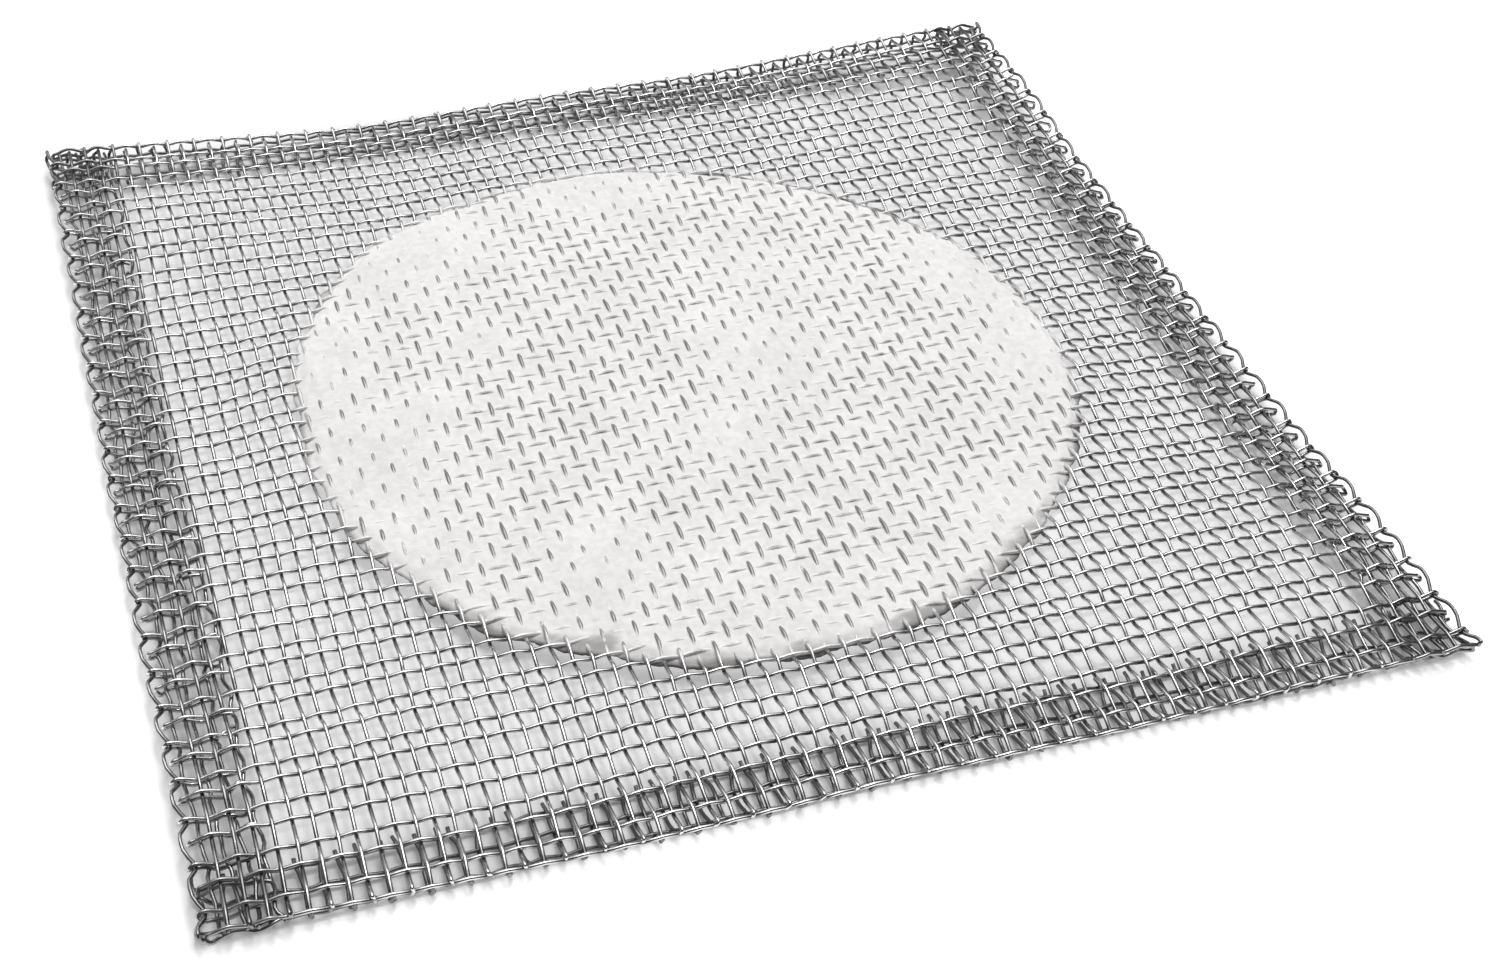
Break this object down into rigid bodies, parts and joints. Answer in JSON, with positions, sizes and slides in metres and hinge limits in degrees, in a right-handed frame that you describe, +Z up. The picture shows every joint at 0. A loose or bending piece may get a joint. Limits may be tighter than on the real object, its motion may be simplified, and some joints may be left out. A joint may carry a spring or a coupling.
{
  "type": "wire gauze",
  "caption": "Square of plain-woven steel wire mesh, folded under along its edges, with a flat ceramic disc moulded through the middle to spread heat under a vessel.",
  "frame": {"origin": "middle of the square outline, on the surface that the hems lie on", "axes": "+X to the right along the front edge, +Y towards the back edge, +Z up out of the ceramic's top face"},
  "size_m": [0.125, 0.125, 0.0029],
  "materials": {
    "steel_wire": "drawn round wire, mid grey with bright highlights along its crowns",
    "ceramic": "matt warm-white pressed ceramic, fine grained and unglazed"
  },
  "bodies": {
    "root": {"ceramic_disc": "ceramic", "left_hem_wires": "steel_wire", "right_hem_wires": "steel_wire", "front_hem_wires": "steel_wire", "back_hem_wires": "steel_wire", "warp_wires_01": "steel_wire", "warp_wires_02": "steel_wire", "warp_wires_03": "steel_wire", "warp_wires_04": "steel_wire", "warp_wires_05": "steel_wire", "warp_wires_06": "steel_wire", "warp_wires_07": "steel_wire", "warp_wires_08": "steel_wire", "warp_wires_09": "steel_wire", "warp_wires_10": "steel_wire", "warp_wires_11": "steel_wire", "warp_wires_12": "steel_wire", "warp_wires_13": "steel_wire", "warp_wires_14": "steel_wire", "warp_wires_15": "steel_wire", "warp_wires_16": "steel_wire", "warp_wires_17": "steel_wire", "warp_wires_18": "steel_wire", "warp_wires_19": "steel_wire", "warp_wires_20": "steel_wire", "warp_wires_21": "steel_wire", "warp_wires_22": "steel_wire", "warp_wires_23": "steel_wire", "warp_wires_24": "steel_wire", "warp_wires_25": "steel_wire", "weft_wires_01": "steel_wire", "weft_wires_02": "steel_wire", "weft_wires_03": "steel_wire", "weft_wires_04": "steel_wire", "weft_wires_05": "steel_wire", "weft_wires_06": "steel_wire", "weft_wires_07": "steel_wire", "weft_wires_08": "steel_wire", "weft_wires_09": "steel_wire", "weft_wires_10": "steel_wire", "weft_wires_11": "steel_wire", "weft_wires_12": "steel_wire", "weft_wires_13": "steel_wire", "weft_wires_14": "steel_wire", "weft_wires_15": "steel_wire", "weft_wires_16": "steel_wire", "weft_wires_17": "steel_wire", "weft_wires_18": "steel_wire", "weft_wires_19": "steel_wire", "weft_wires_20": "steel_wire", "weft_wires_21": "steel_wire", "weft_wires_22": "steel_wire", "weft_wires_23": "steel_wire", "weft_wires_24": "steel_wire", "weft_wires_25": "steel_wire", "weft_wires_26": "steel_wire"}
  },
  "joints": []
}
